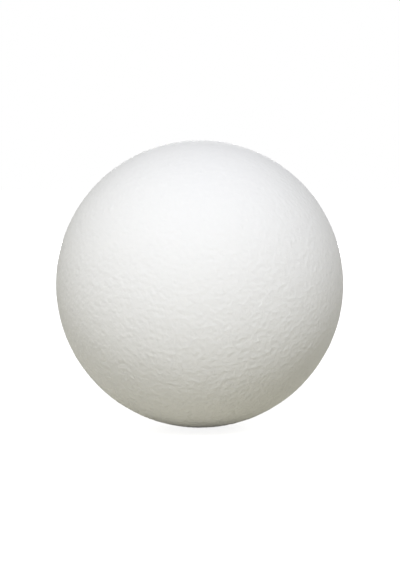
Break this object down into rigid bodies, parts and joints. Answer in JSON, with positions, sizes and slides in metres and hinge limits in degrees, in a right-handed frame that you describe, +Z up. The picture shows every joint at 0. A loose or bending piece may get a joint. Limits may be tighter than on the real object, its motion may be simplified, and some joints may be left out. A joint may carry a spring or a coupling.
{
  "type": "polystyrene ball",
  "caption": "Solid round ball of moulded white polystyrene foam with a finely wrinkled fused-bead surface, for craft work, decoration and display.",
  "frame": {"origin": "the centre of the ball", "axes": "+Z up; the ball is the same in every direction, so X and Y carry no meaning of their own"},
  "size_m": [0.1, 0.1, 0.1],
  "materials": {
    "foam": "raw moulded bead foam, dry and slightly waxy, unpainted"
  },
  "bodies": {
    "root": {"ball": "foam"}
  },
  "joints": []
}
